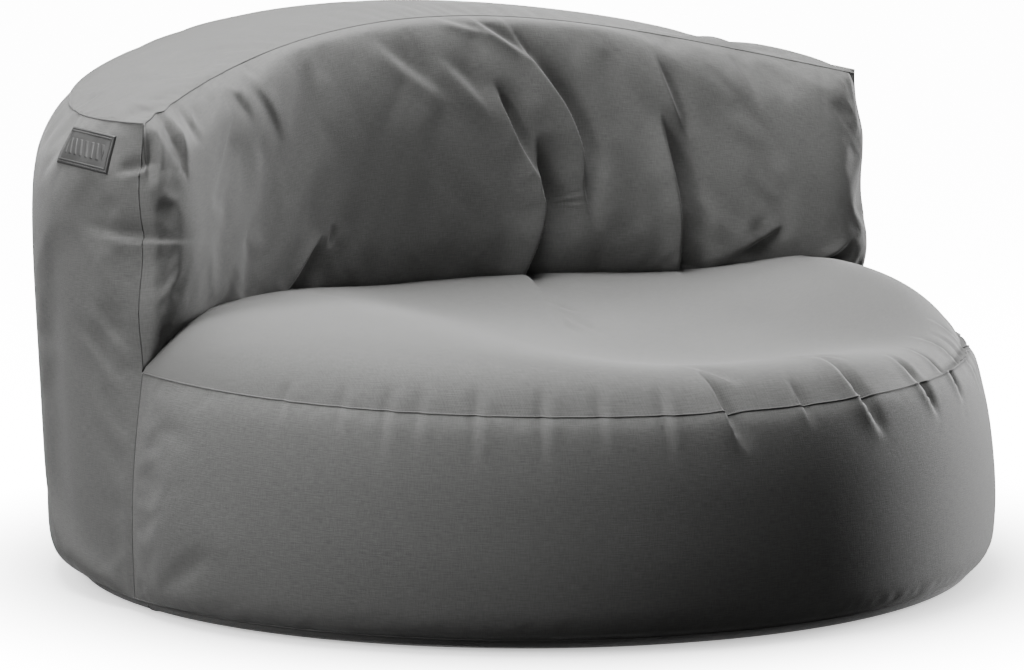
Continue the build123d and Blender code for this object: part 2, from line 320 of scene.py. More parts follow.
def tip_half_width(z):
    """Half the chair's width at the arms' upright seams, at a height."""
    low = BASE_SEAM_R - (BASE_SEAM_R - SEAT_SEAM_R) * z / SEAT_SEAM_Z
    low = low + 0.009 * np.sin(pi * np.clip(z / SEAT_SEAM_Z, 0, 1))
    share = np.clip((z - SEAT_SEAM_Z) / (TIP_TOP - SEAT_SEAM_Z), 0, 1)
    high = SEAT_SEAM_R - 0.004 * share + 0.006 * np.sin(2 * pi * share) ** 2
    return np.where(z < SEAT_SEAM_Z, low, high)


def wall_at(bearing, share, side, top):
    """A point of a wall: its bearing from +X, and its share of the way up its side."""
    radius, z = np.moveaxis(smooth_line(side, share), -1, 0)
    from_tip = np.minimum(
        np.abs((bearing - TIP_BEARING + pi) % (2 * pi) - pi),
        np.abs((bearing - pi + TIP_BEARING + pi) % (2 * pi) - pi),
    )
    shoulder = side[-1][1] * MM
    z = np.where(z > NECK_Z, NECK_Z + (z - NECK_Z) * (top - NECK_Z) / (shoulder - NECK_Z), z)
    seam = np.hypot(tip_half_width(z), TIP_Y)
    radius = seam + (radius - seam) * np.sin(pi / 2 * np.clip(from_tip / PINCH, 0, 1))
    return np.stack([radius * np.cos(bearing), radius * np.sin(bearing), z], axis=-1)


def plan_curve(x, half_width):
    """How far back the backrest's curve stands at x."""
    across = np.clip(x * SEAT_SEAM_R / half_width, -SEAT_SEAM_R, SEAT_SEAM_R)
    return TIP_Y + HOLLOW - ARC_R + np.sqrt(ARC_R**2 - across**2)


def crease_height(x):
    return SEAT_SEAM_Z + 0.018 * rounded((SEAT_SEAM_R - np.abs(x)) / 0.16)


def top_height(x):
    return TIP_TOP + BACK_RISE * np.cos(pi / 2 * np.clip(x / SEAT_SEAM_R, -1, 1))


def seat_seam_height(y):
    return SEAT_SEAM_Z + 0.03 * np.minimum(y - TIP_Y, 0)


def outer_top_height(bearing):
    """Height of the rear seam, which is a little higher at the right of the back."""
    rise = 0.057 * np.abs(np.sin(bearing)) ** 3
    return TIP_TOP + 0.004 + rise + 0.007 * np.sin(2 * bearing)


def rear_wall_place(u, v):
    bearing = TIP_BEARING + (pi - 2 * TIP_BEARING) * u
    spots = wall_at(bearing, v, REAR_SIDE, outer_top_height(bearing))
    spots[np.minimum(u, 1 - u) <= 0, 1] = TIP_Y
    return spots


def front_wall_place(u, v):
    bearing = pi - TIP_BEARING + (pi + 2 * TIP_BEARING) * u
    spots = wall_at(bearing, v, FRONT_SIDE, SEAT_SEAM_Z)
    drop = seat_seam_height(spots[..., 1]) / SEAT_SEAM_Z
    spots[..., 2] = BASE_SEAM_Z + (spots[..., 2] - BASE_SEAM_Z) * drop
    spots[np.minimum(u, 1 - u) <= 0, 1] = TIP_Y
    return spots


# --- Folds ------------------------------------------------------------------------
# Where the beads have sunk, the cloth is too large and folds over itself. A fold has a
# raised lip on one side of its line and a valley on the other, to the right as it runs.
# Every piece of the cover goes through the same folds, so that the seams stay closed.

# ways in which cloth is pushed out: the face, the arms' fronts, the wall, the top, and
# the edge of the seat, from its left round to its right
FACE_OUT, FACE_RIGHT, FACE_LEFT = (-0.12, -0.98, 0.12), (-0.33, -0.93, 0.05), (0.24, -0.96, 0.05)
TIP_OUT, WALL_OUT, TOP_OUT = (-0.3, -0.94, 0.05), (-0.75, -0.65, 0.05), (-0.35, 0.1, 0.93)
EDGE_OUT = (-0.05, -0.85, 0.52)
SEAT_EDGE = [
    (0.05, -0.85, 0.52), (0.05, -0.6, 0.8), (0.4, -0.75, 0.5),
    (0.5, -0.7, 0.5), (0.65, -0.6, 0.5), (0.75, -0.5, 0.45),
]
# push, lift, drop, width of lip, width of valley, strength at start and end, line (mm)
FOLDS = [
    (FACE_OUT, 5, 18, 26, 23, 0.1, 0,
     [(98, 182, 662), (123, 162, 623), (151, 146, 583), (174, 135, 544), (190, 126, 491),
      (189, 125, 440), (203, 124, 385)]),
    (FACE_OUT, 4, 9, 10, 13, 0, 0.4,
     [(45, 196, 672), (70, 180, 655), (98, 165, 635), (122, 160, 618)]),
    (FACE_OUT, 3, 6, 9, 10, 0, 0.2, [(-15, 200, 672), (25, 185, 662), (66, 178, 650)]),
    (FACE_OUT, 5, 13, 22, 17, 0, 0.5,
     [(65, 157, 593), (85, 148, 545), (100, 143, 510), (117, 138, 476)]),
    (FACE_OUT, 9, 25, 34, 30, 0, 1,
     [(124, 141, 524), (125, 139, 500), (129, 136, 450), (134, 135, 425), (128, 139, 390),
      (106, 142, 335)]),
    (FACE_RIGHT, 4, 8, 12, 20, 0, 0,
     [(290, 130, 622), (305, 107, 568), (316, 98, 533), (328, 86, 495)]),
    (FACE_RIGHT, 8, 17, 22, 32, 0, 1,
     [(291, 109, 550), (298, 97, 500), (305, 92, 465), (311, 90, 430), (315, 90, 390),
      (317, 98, 340)]),
    (FACE_OUT, 3, 4, 24, 20, 0, 0, [(-20, 170, 628), (30, 155, 585), (68, 148, 538)]),
    (FACE_OUT, 3, 3, 22, 22, 0, 0, [(-125, 190, 655), (-60, 165, 610), (10, 152, 560)]),
    (FACE_RIGHT, 3, 4, 16, 18, 0, 0, [(385, 100, 618), (400, 78, 580), (415, 57, 538)]),
    (FACE_RIGHT, 5, 9, 16, 16, 0, 0, [(436, 34, 392), (410, 50, 370), (378, 70, 350)]),
    (FACE_RIGHT, 4, 9, 12, 14, 0, 0, [(520, 0, 372), (500, 5, 352), (470, 20, 338)]),
    (FACE_LEFT, 5, 13, 22, 30, 0, 1, [(-219, 117, 420), (-255, 112, 385), (-292, 107, 345)]),
    (FACE_LEFT, 3, 5, 6, 9, 0, 0, [(-205, 121, 432), (-210, 120, 415), (-217, 119, 398)]),
    (FACE_LEFT, 7, 11, 15, 20, 0.2, 0.6, [(-489, 14, 530), (-492, 30, 568), (-497, 51, 595)]),
    (FACE_LEFT, 4, 5, 13, 14, 0, 0.3, [(-450, 40, 550), (-457, 55, 580), (-464, 71, 602)]),
    (FACE_LEFT, 2, 3, 20, 18, 0, 0.2, [(-335, 94, 562), (-355, 100, 595), (-382, 114, 622)]),
    (FACE_LEFT, 2, 3, 22, 20, 0, 0.1, [(-274, 108, 530), (-305, 112, 580), (-340, 122, 626)]),
    (TIP_OUT, 0, 10, 12, 14, 1, 0, [(-541, 16, 582), (-543, 14, 550), (-544, 12, 505)]),
    (TIP_OUT, 0, 10, 12, 12, 1, 0, [(534, 16, 582), (536, 12, 550), (538, 8, 500)]),
    (WALL_OUT, 2, 8, 8, 12, 0, 1, [(-566, 50, 524), (-557, 36, 526), (-548, 22, 530)]),
    (WALL_OUT, 3, 8, 30, 14, 0, 0.2,
     [(-586, 112, 455), (-572, 60, 450), (-549, 22, 447), (-532, 4, 446), (-503, -6, 444)]),
    (WALL_OUT, 3, 4, 14, 16, 0, 0, [(-590, 92, 372), (-574, 58, 335), (-556, 28, 300)]),
    (WALL_OUT, 2, 4, 14, 16, 0, 0, [(-592, 130, 345), (-580, 80, 305), (-562, 40, 262)]),
    (TOP_OUT, 4, 5, 12, 12, 0, 0,
     [(-538, 228, 565), (-522, 212, 590), (-488, 212, 609), (-436, 232, 626)]),
    (TOP_OUT, 2, 3, 5, 5, 0, 0, [(-492, 100, 607), (-478, 92, 608), (-462, 88, 612)]),
    (EDGE_OUT, 6, 13, 18, 15, 0, 0,
     [(-106, -476, 322), (-108, -505, 305), (-105, -540, 268), (-98, -555, 240), (-88, -560, 218)]),
    (EDGE_OUT, 3, 6, 10, 14, 0.6, 0, [(-106, -476, 322), (-88, -500, 308), (-70, -520, 292)]),
    (EDGE_OUT, 3, 6, 9, 10, 0, 0, [(-4, -518, 302), (0, -545, 270), (8, -560, 238)]),
    (SEAT_EDGE[0], 6, 12, 16, 15, 0, 0,
     [(88, -462, 325), (80, -510, 306), (92, -540, 270), (108, -555, 240), (122, -558, 216)]),
    (SEAT_EDGE[1], 3, 5, 9, 10, 0, 0,
     [(40, -430, 328), (75, -432, 328), (98, -470, 324), (113, -502, 308)]),
    (SEAT_EDGE[1], 2, 3, 8, 8, 0, 0, [(15, -455, 324), (50, -458, 324), (85, -486, 318)]),
    (SEAT_EDGE[2], 4, 8, 11, 12, 0, 0,
     [(204, -467, 314), (212, -506, 275), (225, -515, 250), (240, -515, 222)]),
    (SEAT_EDGE[3], 4, 8, 11, 12, 0, 0,
     [(285, -411, 320), (292, -463, 278), (304, -470, 250), (318, -471, 225)]),
    (SEAT_EDGE[4], 3, 7, 10, 10, 0, 0,
     [(350, -350, 318), (368, -400, 282), (385, -405, 250), (398, -405, 222)]),
    (SEAT_EDGE[5], 3, 7, 10, 10, 0, 0,
     [(410, -285, 316), (432, -330, 284), (446, -335, 250), (455, -335, 225)]),
    (TOP_OUT, 2, 4, 9, 9, 0, 0, [(95, 60, 332), (60, 20, 330), (14, -130, 322)]),
    (TOP_OUT, 2, 4, 8, 8, 0, 0, [(66, 62, 332), (45, 14, 329), (-18, -112, 322)]),
    (TOP_OUT, 3, 4, 9, 9, 0, 0, [(66, 62, 332), (72, 30, 330), (72, 2, 328)]),
]
# bearing, depth and length down the wall of the small gathers under the seat's seam
GATHERS = [
    (203, 3, 34), (211, 3, 40), (217, 4, 44), (221, 3, 38), (228, 4, 46), (236, 4, 44),
    (243, 3, 40), (251, 4, 42), (294, 3, 36), (303, 3, 40), (318, 3, 40), (330, 3, 44),
    (345, 3, 40),
]
STEPS = 40  # along the line of a fold
CRISP, SOFT, DEEP = 2.2, 6.0, 5  # half widths (mm) of the turn in deep folds and in others
FADE = 0.45  # share of its length in which a fold comes up or dies away
PAST_END = 12  # how far (mm) a fold still shows past its ends
MM_PER_DEGREE = 9.6  # round the front wall


def between(points, place):
    """Points of a line at places that may lie between two of them."""
    return np.stack([np.interp(place, np.arange(len(points)), axis) for axis in points.T], axis=-1)


def folded(spots):
    """Spots of the cover after every fold and gather that runs near them."""
    moved = spots.copy()
    for push, lift, drop, lip, valley, first, last, line in FOLDS:
        push = np.array(push) / np.linalg.norm(push)
        path = smooth_line(line, np.linspace(0, 1, STEPS + 1))
        size = np.linalg.norm(path[0] - path[-1]) + 3 * max(lip, valley) * MM
        near = np.nonzero(np.linalg.norm(spots - path[STEPS // 2], axis=1) < size)[0]
        if not len(near):
            continue
        away = spots[near, None, :] - path
        depth = away @ push
        level = away - depth[..., None] * push
        nearest = np.linalg.norm(level, axis=2).argmin(axis=1)
        level = level[np.arange(len(near)), nearest]
        flat = np.gradient(path, axis=0)
        flat -= (flat @ push)[:, None] * push
        ahead = (level * flat[nearest]).sum(axis=1) / (flat[nearest] ** 2).sum(axis=1)
        place = np.clip(nearest + ahead, 0, STEPS)
        along = between(flat, place)
        level = spots[near] - between(path, place)
        depth = level @ push
        level -= depth[:, None] * push
        side = np.cross(push, along)
        side /= np.linalg.norm(side, axis=1, keepdims=True)
        along /= np.linalg.norm(along, axis=1, keepdims=True)
        across = (level * side).sum(axis=1) / MM
        beyond = (level * along).sum(axis=1) / MM
        run = place / STEPS
        strength = first + (1 - first) * eased(run / FADE)
        strength *= last + (1 - last) * eased((1 - run) / FADE)
        strength *= np.exp(-((beyond / PAST_END) ** 2)) * eased((0.10 - np.abs(depth)) / 0.04)
        right = 0.5 + 0.5 * np.tanh(across / (CRISP if drop > DEEP else SOFT))
        height = (1 - right) * lift * np.exp(-((across / lip) ** 2))
        height -= right * drop * np.exp(-((across / valley) ** 2))
        moved[near] += (height * strength * MM)[:, None] * push
    out = spots[:, :2] / np.maximum(np.linalg.norm(spots[:, :2], axis=1), 1e-6)[:, None]
    bearing = np.degrees(np.arctan2(spots[:, 1], spots[:, 0])) % 360
    below = (SEAT_SEAM_Z - spots[:, 2]) / MM
    at_wall = (np.hypot(spots[:, 0], spots[:, 1]) > 0.50) & (spots[:, 1] < TIP_Y)
    for at, depth, length in GATHERS:
        across = (bearing - at) * MM_PER_DEGREE
        fade = np.exp(-((below / np.where(below > 0, length, 14)) ** 2))
        pleat = np.exp(-((across / 6) ** 2)) - 0.5 * np.exp(-(((across - 12) / 9) ** 2))
        moved[:, :2] -= (depth * fade * pleat * at_wall * MM)[:, None] * out
    return moved


# --- Panels -----------------------------------------------------------------------
# A panel is a sheet of canvas cut a little larger than the space between its seams.
# Cloth simulation blows it out with the pressure of the beads, and then it is folded.


def outline(place, columns, rows):
    """The panel's four edges as lines of points: low, high, first and last."""
    u, v = np.linspace(0, 1, columns), np.linspace(0, 1, rows)
    return (
        place(u, np.zeros(columns)), place(u, np.ones(columns)),
        place(np.zeros(rows), v), place(np.ones(rows), v),
    )


def sheet(columns, rows):
    """A flat grid, and the share of its length and width at which each point lies."""
    bm = bmesh.new()
    bmesh.ops.create_grid(bm, x_segments=columns, y_segments=rows, size=0.5)
    return bm, np.clip(np.array([v.co[:2] for v in bm.verts]) + 0.5, 0, 1)


def panel(name, columns, rows, place, outward):
    """A sheet of canvas hung in its place, with its UV map in metres. The point and the
    direction in outward say which of its sides is the right one."""
    bm, cut = sheet(columns, rows)
    for vert, spot in zip(bm.verts, place(cut[:, 0], cut[:, 1])):
        vert.co = spot
    middle = place(np.full(65, 0.5), np.linspace(0, 1, 65))
    level = place(np.linspace(0, 1, 65), np.full(65, 0.5))
    size = [np.linalg.norm(np.diff(run, axis=0), axis=1).sum() for run in (level, middle)]
    bm.verts.index_update()
    uv = bm.loops.layers.uv.new("cut")
    for face in bm.faces:
        for loop in face.loops:
            loop[uv].uv = cut[loop.vert.index] * size
    bm.normal_update()
    probe = min(bm.faces, key=lambda f: (f.calc_center_median() - Vector(outward[0])).length)
    if probe.normal.dot(Vector(outward[1])) < 0:
        bmesh.ops.reverse_faces(bm, faces=bm.faces)
    piece = link_piece(name, bm)
    piece.data.materials.append(COVER_CLOTH)
    return piece


def points_of(mesh):
    flat = np.empty(len(mesh.vertices) * 3, np.float32)
    mesh.vertices.foreach_get("co", flat)
    return flat.reshape(-1, 3).astype(float)


def set_points(mesh, points):
    mesh.vertices.foreach_set("co", points.astype(np.float32).ravel())
    mesh.update()


HOLD = 0.02  # how firmly the beads hold the cloth where it isn't sewn
FRAMES = 20
CORNER = 0.022  # round the arms' upright seams, where four panels meet


def settle(piece, slack, pressure, most):
    """Cloth simulation of a panel cut larger by slack than the space between its seams,
    with the beads pressing from inside. No point ends up farther away than most."""
    mesh = piece.data
    start = points_of(mesh)
    ends, used = np.unique(
        [key for polygon in mesh.polygons for key in polygon.edge_keys], axis=0, return_counts=True
    )
    rim = set(ends[used == 1].ravel().tolist())
    corner = np.hypot(np.abs(start[:, 0]) - SEAT_SEAM_R, start[:, 1] - TIP_Y) < CORNER
    group = piece.vertex_groups.new(name="sewn")
    group.add(list(range(len(start))), HOLD, "REPLACE")
    group.add(sorted(rim | set(np.nonzero(corner)[0].tolist())), 1.0, "REPLACE")
    cloth = piece.modifiers.new("cloth", "CLOTH")
    given = cloth.settings
    given.quality = 5
    given.mass = 0.35
    given.tension_stiffness = given.compression_stiffness = 18
    given.shear_stiffness = 6
    given.bending_stiffness = 0.3
    given.tension_damping = given.compression_damping = given.shear_damping = 12
    given.air_damping = 2
    given.use_pressure = True
    given.uniform_pressure_force = pressure
    given.vertex_group_mass = "sewn"
    given.pin_stiffness = 1.0
    given.shrink_min = -slack
    given.effector_weights.gravity = 0
    cloth.point_cache.frame_start, cloth.point_cache.frame_end = 1, FRAMES
    for step in range(1, FRAMES + 1):
        bpy.context.scene.frame_set(step)
    after = piece.evaluated_get(bpy.context.evaluated_depsgraph_get()).to_mesh()
    moved = points_of(after) - start
    piece.modifiers.remove(cloth)
    piece.vertex_groups.clear()
    bpy.context.scene.frame_set(1)
    far = np.linalg.norm(moved, axis=1, keepdims=True)
    moved *= np.tanh(far / most) * most / np.maximum(far, 1e-9)
    set_points(mesh, start + moved)


def finish_panel(piece, node, levels):
    finer = piece.modifiers.new("finer", "SUBSURF")
    finer.levels = finer.render_levels = levels
    finer.boundary_smooth = "PRESERVE_CORNERS"
    mesh = bpy.data.meshes.new_from_object(
        piece.evaluated_get(bpy.context.evaluated_depsgraph_get())
    )
    piece.modifiers.clear()
    piece.data = mesh
    set_points(mesh, folded(points_of(mesh)))
    for polygon in mesh.polygons:
        polygon.use_smooth = True
    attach(piece, "root")
    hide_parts(node)


# --- Rear wall --------------------------------------------------------------------
# One strip of canvas from the floor to the top of the backrest, round from arm to arm.
# The beads hold it nearly upright, and it is drawn in where it meets the arms' fronts.

rear_wall = panel("rear_wall_panel", 170, 60, rear_wall_place, ((0, 0.6, 0.3), (0, 1, 0)))
settle(rear_wall, 0.012, 0.6, 0.008)
finish_panel(rear_wall, "rear_wall", 1)

# --- Front wall -------------------------------------------------------------------
# The strip of canvas round the front of the seat, between the seams of the base and of
# the seat. It is the fullest part of the cover and stays almost smooth.

front_wall = panel("front_wall_panel", 180, 32, front_wall_place, ((0, -0.6, 0.15), (0, -1, 0)))
settle(front_wall, 0.008, 0.7, 0.005)
finish_panel(front_wall, "front_wall", 1)

# --- Padded face of the backrest --------------------------------------------------
# A long strip of canvas from arm to arm. It rises from the crease at the seat to the
# top seam, and the beads push it forward past both, most of all close to the arms.

FACE_SWELL = 0.066


def from_middle(u):
    """Share of the way from the middle to either arm, with columns closer by the arms."""
    s = 2 * u - 1
    return 0.6 * s + 0.4 * np.sin(pi / 2 * s)


def face_place(u, v):
    share = from_middle(u)
    x = SEAT_SEAM_R * share
    z = crease_height(x) + (top_height(x) - crease_height(x)) * v
    half = tip_half_width(SEAT_SEAM_Z + (TIP_TOP - SEAT_SEAM_Z) * v)
    x = half * share
    low, high = rounded(v / 0.26), rounded((1 - v) / 0.80)
    swell = FACE_SWELL * low * high * rounded((1 - np.abs(share)) / 0.13)
    return np.stack([x, plan_curve(x, half) - swell, z], axis=-1)


back_face = panel("back_face_panel", 150, 40, face_place, ((0, 0.15, 0.45), (0, -1, 0)))
settle(back_face, 0.013, 0.7, 0.009)
finish_panel(back_face, "back_face", 2)

# --- Top of the backrest ----------------------------------------------------------
# A crescent of canvas between the face and the rear wall, crowned by the beads.


def top_place(u, v):
    x = tip_half_width(np.array(TIP_TOP)) * from_middle(u)
    half = tip_half_width(np.full_like(x, TIP_TOP))
    inner = np.stack([x, plan_curve(x, half), top_height(x * SEAT_SEAM_R / half)], axis=-1)
    outer = rear_wall_place(1 - u, np.ones_like(u))
    spots = inner + (outer - inner) * v[:, None]
    width = np.linalg.norm(outer - inner, axis=-1)
    spots[:, 2] += np.minimum(0.07 * width, 0.014) * np.sin(pi * v) ** 0.6
    return spots


back_top = panel("back_top_panel", 170, 32, top_place, ((0, 0.4, 0.66), (0, 0, 1)))
settle(back_top, 0.012, 0.5, 0.007)
finish_panel(back_top, "back_top", 1)

# --- Seat -------------------------------------------------------------------------
# One round panel, sewn to the front wall along its edge and to the backrest's face
# along the crease. It swells over the edge and is sat down in its middle.

SEAT_SWELL, SEAT_SINK = 0.061, 0.052
BOWL_X, BOWL_Y, BOWL_HALF = 0.12, -0.16, 0.31
HUMP_X, HUMP_Y, HUMP_RISE = 0.40, -0.08, 0.012  # cloth left standing beside the bowl


def seat_place(u, v):
    x = SEAT_SEAM_R * from_middle(u)
    rear = np.stack([x, plan_curve(x, SEAT_SEAM_R), crease_height(x)], axis=-1)
    front = front_wall_place(u, np.ones_like(u))
    flat = rear + (front - rear) * v[:, None]
    spots = flat.copy()
    length = np.linalg.norm(front - rear, axis=-1)
    to_front, to_rear = length * (1 - v), length * v
    to_rim = np.minimum(SEAT_SEAM_R - np.hypot(flat[:, 0], flat[:, 1]), to_front)
    to_rim = np.where(flat[:, 1] < TIP_Y, to_rim, to_front)
    spots[:, 2] += SEAT_SWELL * (1 - np.exp(-np.maximum(to_rim, 0) / 0.028))
    spots[:, 2] -= 0.030 * np.exp(-to_rear / 0.035) * np.minimum(length / 0.3, 1)
    bowl = (((flat[:, :2] - (BOWL_X, BOWL_Y)) / BOWL_HALF) ** 4).sum(axis=1)
    spots[:, 2] -= SEAT_SINK * np.exp(-bowl) * eased(to_rear / 0.05)
    hump = np.hypot((flat[:, 0] - HUMP_X) / 0.13, (flat[:, 1] - HUMP_Y) / 0.16)
    spots[:, 2] += HUMP_RISE * np.exp(-(hump**2))
    edge = (v <= 0) | (v >= 1)
    spots[edge] = flat[edge]
    return spots


seat_top = panel("seat_top_panel", 180, 72, seat_place, ((0, -0.2, 0.33), (0, 0, 1)))
settle(seat_top, 0.010, 0.3, 0.006)
finish_panel(seat_top, "seat_top", 1)

# --- Base -------------------------------------------------------------------------
# Two half discs of the same canvas. The chair stands on their outer ring, and the
# middle is drawn up clear of the floor, where the zip runs across.

BASE_SIDE = [(0, 13), (390, 13), (430, 7), (462, 1), (500, 1), (535, 1.5), (552, 6), (560, 16)]
ZIP_HALF = 0.350
SLOT_HALF = 0.0068
RIPPLE = 0.0012


def base_place(side):
    def place(u, v):
        s = 2 * u - 1
        x = BASE_SEAM_R * (0.5 * s + 0.5 * np.sin(pi / 2 * s))
        slot = SLOT_HALF * eased((ZIP_HALF + 0.001 - np.abs(x)) / 0.004)
        rim = np.sqrt(np.maximum(BASE_SEAM_R**2 - x**2, 0))
        slot = np.minimum(slot, rim)
        y = slot + (rim - slot) * v
        radius = np.hypot(x, y)
        z = np.interp(radius, *smooth_line(BASE_SIDE, np.linspace(0, 1, 200)).T)
        ripple = np.sin(61 * x + 3 * np.sin(23 * y)) * np.sin(47 * y + 2 * np.sin(31 * x))
        z = z + RIPPLE * (ripple + 1) * eased((0.44 - radius) / 0.1) * eased((y - 0.03) / 0.05)
        return np.stack([x, side * y, z], axis=-1)

    return place


for side, node in ((1, "base_rear"), (-1, "base_front")):
    half = panel(node + "_panel", 170, 44, base_place(side), ((0, side * 0.3, 0.01), (0, 0, -1)))
    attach(half, "root")
    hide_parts(node)

# --- Seams ------------------------------------------------------------------------
# Plain seams: the two panels' edges are sewn together and turned in, which leaves a
# narrow rolled ridge of doubled cloth along the line, with the thread sunk into it.


SEAM_R = 0.0011
ROUND = 8  # faces round a ridge


def close_body(bm, gap):
    """Joins the edges of a grid that was bent round, and closes its two ends."""
    bmesh.ops.remove_doubles(bm, verts=bm.verts, dist=gap)
    bmesh.ops.holes_fill(bm, edges=[e for e in bm.edges if e.is_boundary], sides=0)
    bmesh.ops.recalc_face_normals(bm, faces=bm.faces)


def ridge(name, line, radius, node, closed=False):
    """A rolled ridge along a line of points, pressed into the same folds as the panels."""
    line = folded(line)
    step = np.linalg.norm(np.diff(line, axis=0), axis=1)
    length = np.r_[0, np.cumsum(step)]
    tangent = np.gradient(line, axis=0)
    if closed:
        tangent[0] = tangent[-1] = line[1] - line[-2]
    tangent /= np.linalg.norm(tangent, axis=1, keepdims=True)
    first = np.cross(tangent, (0.02, 0.01, 1.0))
    first /= np.linalg.norm(first, axis=1, keepdims=True)
    second = np.cross(tangent, first)
    bm, cut = sheet(len(line) - 1, ROUND)
    uv = bm.loops.layers.uv.new("cut")
    bm.verts.index_update()
    at = np.rint(cut[:, 0] * (len(line) - 1)).astype(int)
    turn = 2 * pi * cut[:, 1, None]
    ring = np.cos(turn) * first[at] + np.sin(turn) * second[at]
    places = line[at] + radius * ring
    for face in bm.faces:
        for loop in face.loops:
            k = loop.vert.index
            loop[uv].uv = (length[at[k]], cut[k, 1] * 2 * pi * radius)
    for vert, spot in zip(bm.verts, places):
        vert.co = spot
    close_body(bm, radius / 20)
    piece = link_piece(name, bm)
    piece.data.materials.append(SEAM_CLOTH)
    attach(piece, "root")
    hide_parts(node)


LONG_SEAM, SHORT_SEAM = 361, 181  # points along a seam
front_low, front_high, _, _ = outline(front_wall_place, LONG_SEAM, 3)
rear_low, rear_high, tip_right, tip_left = outline(rear_wall_place, LONG_SEAM, SHORT_SEAM)
face_low, face_high, _, _ = outline(face_place, LONG_SEAM, 3)
ridge("seam_seat_ridge", front_high, SEAM_R, "seam_seat")
ridge("seam_base_ridge", np.vstack([rear_low, front_low[1:]]), SEAM_R, "seam_base", closed=True)
ridge("seam_crease_ridge", face_low, SEAM_R, "seam_crease")
ridge("seam_back_face_ridge", face_high, SEAM_R, "seam_back_face")
ridge("seam_back_rear_ridge", rear_high, SEAM_R, "seam_back_rear")
ridge("seam_tip_left_ridge", tip_left, SEAM_R, "seam_tip_left")
ridge("seam_tip_right_ridge", tip_right, SEAM_R, "seam_tip_right")

cross_side = smooth_line(BASE_SIDE, np.linspace(0, 1, 400))
past_zip, in_rim = cross_side[:, 0] > ZIP_HALF + 0.004, cross_side[:, 0] < BASE_SEAM_R - 0.003
cross_side = cross_side[past_zip & in_rim]
for side, name in ((-1, "left"), (1, "right")):
    line = np.stack([side * cross_side[:, 0], 0 * cross_side[:, 0], cross_side[:, 1]], axis=-1)
    line[:, 2] = np.maximum(line[:, 2], SEAM_R)
    ridge("seam_base_cross_" + name, line, SEAM_R * 0.9, "seam_base_cross")

# --- Zip --------------------------------------------------------------------------
# A child-safe nylon coil zip, 700 mm long, with no pull. The tapes are woven polyester,
# each coil is one spiral of monofilament, and the slider and the stops are painted metal.


def tape_finish():
    material, nodes, shader = finish_of("zip_tape", 0.8, sheen=0.15)
    place = nodes.node("ShaderNodeTexCoord", out="Object")
    rib = nodes.node(
        "ShaderNodeTexWave",
        {"bands_direction": "DIAGONAL", "wave_profile": "SIN"},
        {"Vector": place, "Scale": 240.0, "Distortion": 0.4},
    )
    fibre = nodes.node("ShaderNodeTexNoise", inputs={"Vector": place, "Scale": 900.0})
    thread = rib * 0.6 + fibre * 0.4
    dyed = colour_between(nodes, thread, (0.012, 0.012, 0.013), (0.04, 0.04, 0.042))
    feed(dyed, shader, "Base Color")
    feed(bumped(nodes, rib, 0.5, 0.0004), shader, "Normal")
    return material


GRAIN = 260.0


def moulded_finish(name, colour, bright, roughness, metallic=0.0):
    """Nylon, rubber or paint: one colour with a fine grain and uneven gloss."""
    material, nodes, shader = finish_of(name, roughness, metallic=metallic)
    place = nodes.node("ShaderNodeTexCoord", out="Object")
    grain = nodes.node(
        "ShaderNodeTexNoise", inputs={"Vector": place, "Scale": GRAIN, "Detail": 4.0}
    )
    smear = nodes.node("ShaderNodeTexNoise", inputs={"Vector": place, "Scale": GRAIN / 9})
    feed(colour_between(nodes, grain * 0.5 + smear * 0.5, colour, bright), shader, "Base Color")
    feed(smear * 0.25 + (roughness - 0.12), shader, "Roughness")
    feed(bumped(nodes, grain, 0.25, 0.0003), shader, "Normal")
    return material


ZIP_TAPE = tape_finish()
ZIP_COIL = moulded_finish("zip_coil", (0.02, 0.02, 0.021), (0.035, 0.035, 0.036), 0.42)
ZIP_METAL = moulded_finish(
    "zip_metal", (0.03, 0.03, 0.032), (0.06, 0.06, 0.062), 0.38, metallic=0.7
)


def dress(name, material):
    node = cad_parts[name]
    node.data.materials.clear()
    node.data.materials.append(material)


for name in ("zip_tape_front", "zip_tape_rear"):
    dress(name, ZIP_TAPE)
for name in ("zip_stop_start", "zip_stop_end", "zip_slider", "zip_bail"):
    dress(name, ZIP_METAL)

COIL_PITCH, WIRE_R = 0.0030, 0.00042
for side, node in ((1, "zip_coil_rear"), (-1, "zip_coil_front")):
    low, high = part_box(node)
    middle, size = (low + high) / 2, high - low
    turns = int(size.x / COIL_PITCH)
    bm = bmesh.new()
    bmesh.ops.create_grid(bm, x_segments=turns * 10, y_segments=5, size=0.5)
    reach_y, reach_z = size.y / 2 - WIRE_R, size.z / 2 - WIRE_R
    for vert in bm.verts:
        share, round_wire = vert.co.x + 0.5, 2 * pi * (vert.co.y + 0.5)
        turn = 2 * pi * turns * share + (pi if side < 0 else 0)
        out = Vector((0, cos(turn), sin(turn)))
        y, z = middle.y + reach_y * out.y, middle.z + reach_z * out.z
        spot = Vector((low.x + size.x * share, y, z))
        vert.co = spot + WIRE_R * (cos(round_wire) * out + sin(round_wire) * Vector((1, 0, 0)))
    close_body(bm, WIRE_R / 20)
    coil = link_piece(node + "_spiral", bm)
    coil.data.materials.append(ZIP_COIL)
    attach(coil, "root")
    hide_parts(node)

# --- Badge ------------------------------------------------------------------------
# A moulded rubber label sewn to the wall behind the left arm's front. It has a double
# raised border and, in the middle, a plain row of slanted bars.

